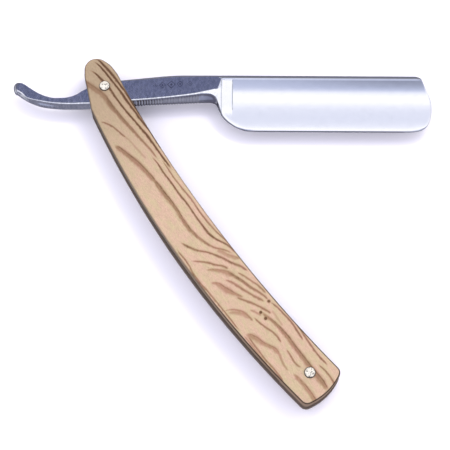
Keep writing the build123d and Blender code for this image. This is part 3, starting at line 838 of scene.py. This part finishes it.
def scale_mesh(name, side, seed):
    """One bowed scale as closed loops across the handle; side is 1 for the front scale and -1
    for the rear."""
    upper, lower = handle_sides(520)
    inward = []
    for line, hand in ((upper, -1), (lower, 1)):
        run = np.gradient(line, axis=0)
        run[0] = (0, -hand)
        run[-1] = (0, hand)
        run /= np.linalg.norm(run, axis=1)[:, None]
        inward.append(np.stack([-hand * run[:, 1], hand * run[:, 0]], 1))
    # Roundings as (inset, rise) pairs: from the outer face to the wall, then to the inner face.
    turn = np.linspace(0, math.pi / 2, 8)
    outer = [(OUTER_ROUND * (1 - math.sin(a)), -OUTER_ROUND * (1 - math.cos(a))) for a in turn]
    turn = np.linspace(0, math.pi / 2, 4)
    inner = [(INNER_ROUND * (1 - math.cos(a)), INNER_ROUND * (1 - math.sin(a))) for a in turn]
    rows = []
    for inset, drop in outer[::-1]:
        rows.append((upper + inward[0] * inset, SCALE_THICKNESS + drop))
    start, end = upper + inward[0] * OUTER_ROUND, lower + inward[1] * OUTER_ROUND
    for share in np.linspace(0, 1, 74)[1:-1]:
        rows.append((start + (end - start) * share, SCALE_THICKNESS))
    for inset, drop in outer:
        rows.append((lower + inward[1] * inset, SCALE_THICKNESS + drop))
    for inset, rise in inner:
        rows.append((lower + inward[1] * inset, rise))
    start, end = lower + inward[1] * INNER_ROUND, upper + inward[0] * INNER_ROUND
    for share in np.linspace(0, 1, 14)[1:-1]:
        rows.append((start + (end - start) * share, 0.0))
    for inset, rise in inner[::-1]:
        rows.append((upper + inward[0] * inset, rise))
    s = np.stack([row[0][:, 0] for row in rows], 1)
    t = np.stack([row[0][:, 1] for row in rows], 1)
    rise = np.array([row[1] for row in rows])[None, :]
    bow = BOW * np.sin(math.pi * np.clip((s - BOW_FROM) / BOW_LENGTH, 0, 1)) ** 2
    z = MID_Z + side * (HALF_GAP + rise + bow)
    turn_x, turn_y = math.cos(HANDLE_ANGLE), math.sin(HANDLE_ANGLE)
    points = np.stack([s * turn_x - t * turn_y, s * turn_y + t * turn_x, z], -1)
    points = points.reshape(-1, 3) * MM
    count, ring = s.shape
    number = np.arange(count * ring).reshape(count, ring)
    faces = []
    for i in range(count - 1):
        for j in range(ring):
            k = (j + 1) % ring
            face = (number[i, j], number[i, k], number[i + 1, k], number[i + 1, j])
            faces.append(tuple(int(v) for v in (face if side > 0 else face[::-1])))
    mesh = bpy.data.meshes.new(name)
    mesh.from_pydata(points.tolist(), [], faces)
    streak = mesh.attributes.new("streak", "FLOAT", "POINT")
    amount = streak_at(s.ravel(), side * t.ravel(), seed)
    streak.data.foreach_set("value", amount.astype(np.float32))
    return closed(mesh)


def bored(mesh, radius, *places):
    """The mesh with a round hole through it, parallel to Z, at each place."""
    blank = bpy.data.objects.new("blank", mesh)
    bpy.context.scene.collection.objects.link(blank)
    drills = []
    for place in places:
        turn = np.linspace(0, 2 * math.pi, 49)[:-1]
        ring = [(place[0] + radius * math.cos(a), place[1] + radius * math.sin(a)) for a in turn]
        points = [(x * MM, y * MM, z * MM) for z in (-1.0, 2 * MID_Z + 1) for x, y in ring]
        count = len(ring)
        faces = [(k, (k + 1) % count, (k + 1) % count + count, k + count) for k in range(count)]
        faces += [tuple(range(count))[::-1], tuple(range(count, 2 * count))]
        drill_mesh = bpy.data.meshes.new("drill")
        drill_mesh.from_pydata(points, [], faces)
        drill = bpy.data.objects.new("drill", drill_mesh)
        bpy.context.scene.collection.objects.link(drill)
        drills.append(drill)
        cut = blank.modifiers.new("bore", "BOOLEAN")
        cut.operation = "DIFFERENCE"
        cut.solver = "EXACT"
        cut.object = drill
    shape = blank.evaluated_get(bpy.context.evaluated_depsgraph_get())
    result = bpy.data.meshes.new_from_object(shape)
    result.name = mesh.name + "_bored"
    for spare in (blank, *drills):
        bpy.data.objects.remove(spare)
    return result


def piece(name, mesh, skin, body, slot, *nodes):
    """A finished piece that moves with a body and stands for CAD nodes."""
    made = bpy.data.objects.new(name, mesh)
    bpy.context.scene.collection.objects.link(made)
    dress(made, skin)
    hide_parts(*nodes)
    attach(made, body)


# ------------------------------------------------------------------ pieces
blade_skin = steel("blade_polish", (0.80, 0.81, 0.84), 0.085, is_blade=True)
pin_skin = hammered("pin_steel", (0.95, 0.88, 0.74))
brass_skin = steel("washer_brass", (0.80, 0.60, 0.28), 0.3)
wood_skin = wood("scale_wood", (0.51, 0.38, 0.26), (0.120, 0.060, 0.028), gap_shade=0.92)
spacer_skin = wood("spacer_wood", (0.36, 0.25, 0.16), (0.15, 0.09, 0.055))

for name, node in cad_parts.items():
    if name == "end_wedge":
        dress(node, spacer_skin)
    elif name.endswith("thrust_washer"):
        dress(node, brass_skin)
    else:
        dress(node, pin_skin)

AXES = ((0.0, 0.0), (BUTT_X, BUTT_Y))  # of the pivot pin and the wedge pin
blade = bored(blade_mesh(), RUNNING_HOLE, AXES[0])
front = bored(scale_mesh("front_scale_wood", 1, 2.0), FIXED_HOLE, *AXES)
back = bored(scale_mesh("back_scale_wood", -1, 7.0), FIXED_HOLE, *AXES)
piece("blade_steel", blade, blade_skin, "blade", "blade_steel", "blade")
piece("front_scale_wood", front, wood_skin, "handle", "wood", "front_scale")
piece("back_scale_wood", back, wood_skin, "handle", "wood", "back_scale")


# ------------------------------------------------------------------ floor, light and camera
def sheet(name, low, high, z):
    """A flat rectangle between two corners at height z."""
    (left, near), (right, far) = low, high
    corners = [(left, near, z), (right, near, z), (right, far, z), (left, far, z)]
    mesh = bpy.data.meshes.new(name)
    mesh.from_pydata(corners, [], [(0, 1, 2, 3)])
    made = bpy.data.objects.new(name, mesh)
    bpy.context.scene.collection.objects.link(made)
    return made


floor = sheet("floor", (-3.0, -3.0), (3.0, 3.0), 0.0)
floor_skin, t = material("floor")
x, y, z = t.place()
cloud = t.noise(t.mul(x, 0.02), t.mul(y, 0.02), t.mul(z, 0.02), 2.0)
t.principled({
    "Base Color": t.mix(t.remap(cloud, 0.3, 0.7), (0.90, 0.87, 0.94), (0.92, 0.89, 0.96)),
    "Roughness": 0.8,
    "Specular IOR Level": 0.1,
})
dress(floor, floor_skin)
floor.visible_glossy = False

# Softbox overhead, whose strength goes by degrees behind the middle as seen from the object. It
# is brightest a little behind, and ends in a crisp rear edge.
PANEL_HEIGHT = 0.7
panel = sheet("softbox", (-0.45, -0.42), (0.55, 0.30), PANEL_HEIGHT)
panel_skin, t = material("softbox")
x, y, z = t.place()
degrees = t.mul(t.math("ARCTANGENT", t.math("DIVIDE", y, PANEL_HEIGHT / MM)), 180 / math.pi)
strength = t.curve(degrees, (
    (-32, 0.38), (-25, 0.40), (-15, 0.44), (-5, 0.60), (1, 0.84), (7, 1.22), (12, 1.33), (17, 1.2),
    (20, 1.04), (25, 0.93),
))
# A little brighter towards the front on the left.
strength = t.add(strength, t.mul(t.step(x, 212.0, 50.0), t.mul(t.step(degrees, 15.0, -15.0), 0.3)))
cut = t.step(degrees, 22.9, 22.1)
hue = t.mix(t.step(strength, 0.7, 1.3), (0.82, 0.89, 1.20), (0.985, 0.99, 1.08))
t.surface(t.node("ShaderNodeEmission", {"Color": hue, "Strength": t.mul(strength, cut)}))
dress(panel, panel_skin)

# One soft key from behind on the right, which throws the shadow and isn't mirrored in the steel.
light = bpy.data.lights.new("key", "AREA")
light.shape = "RECTANGLE"
light.size, light.size_y = 0.45, 0.35
light.energy = 6.5
light.color = (1.0, 0.99, 0.97)
key = bpy.data.objects.new("key", light)
bpy.context.scene.collection.objects.link(key)
key.location = (0.42, 0.26, 0.80)
key.rotation_mode = "QUATERNION"
key.rotation_quaternion = (key.location - Vector((0.04, -0.04, 0.0))).to_track_quat("Z", "Y")
key.visible_glossy = False

# The room: a pale light tent for everything but glossy reflections, which see a darker room
# that is a little lighter in front of the object and has a bright window on each side.
world = bpy.data.worlds.new("studio")
bpy.context.scene.world = world
t = Tree(world)
towards = t.node("ShaderNodeTexCoord").outputs["Generated"]
right, back, up = t.node("ShaderNodeSeparateXYZ", (towards,)).outputs
behind = t.mix(t.step(up, 0.85, 0.7), (0.145, 0.163, 0.295), (0.24, 0.245, 0.30))
room = t.mix(t.step(back, 0.25, -0.45), behind, (0.31, 0.32, 0.42))
windows = t.mul(t.step(t.size(right), 0.6, 0.85), t.step(up, -0.05, 0.2))
room = t.mix(windows, room, (0.85, 0.88, 0.98))
mirrored = t.node("ShaderNodeLightPath").outputs["Is Glossy Ray"]
seen = {"Color": t.mix(mirrored, (1.6, 1.6, 1.68), room), "Strength": 1.0}
t.surface(t.node("ShaderNodeBackground", seen), "ShaderNodeOutputWorld")

eye = bpy.data.cameras.new("camera")
eye.lens = 112.0
eye.sensor_width = 36.0
eye.clip_start = 0.01
eye.clip_end = 20.0
camera = bpy.data.objects.new("camera", eye)
bpy.context.scene.collection.objects.link(camera)
camera.location = (0.04505, -0.22092, 0.4699)
camera.rotation_euler = (math.radians(20.0), 0.0, math.radians(0.35))
bpy.context.scene.camera = camera
bpy.context.scene.view_settings.view_transform = "Standard"
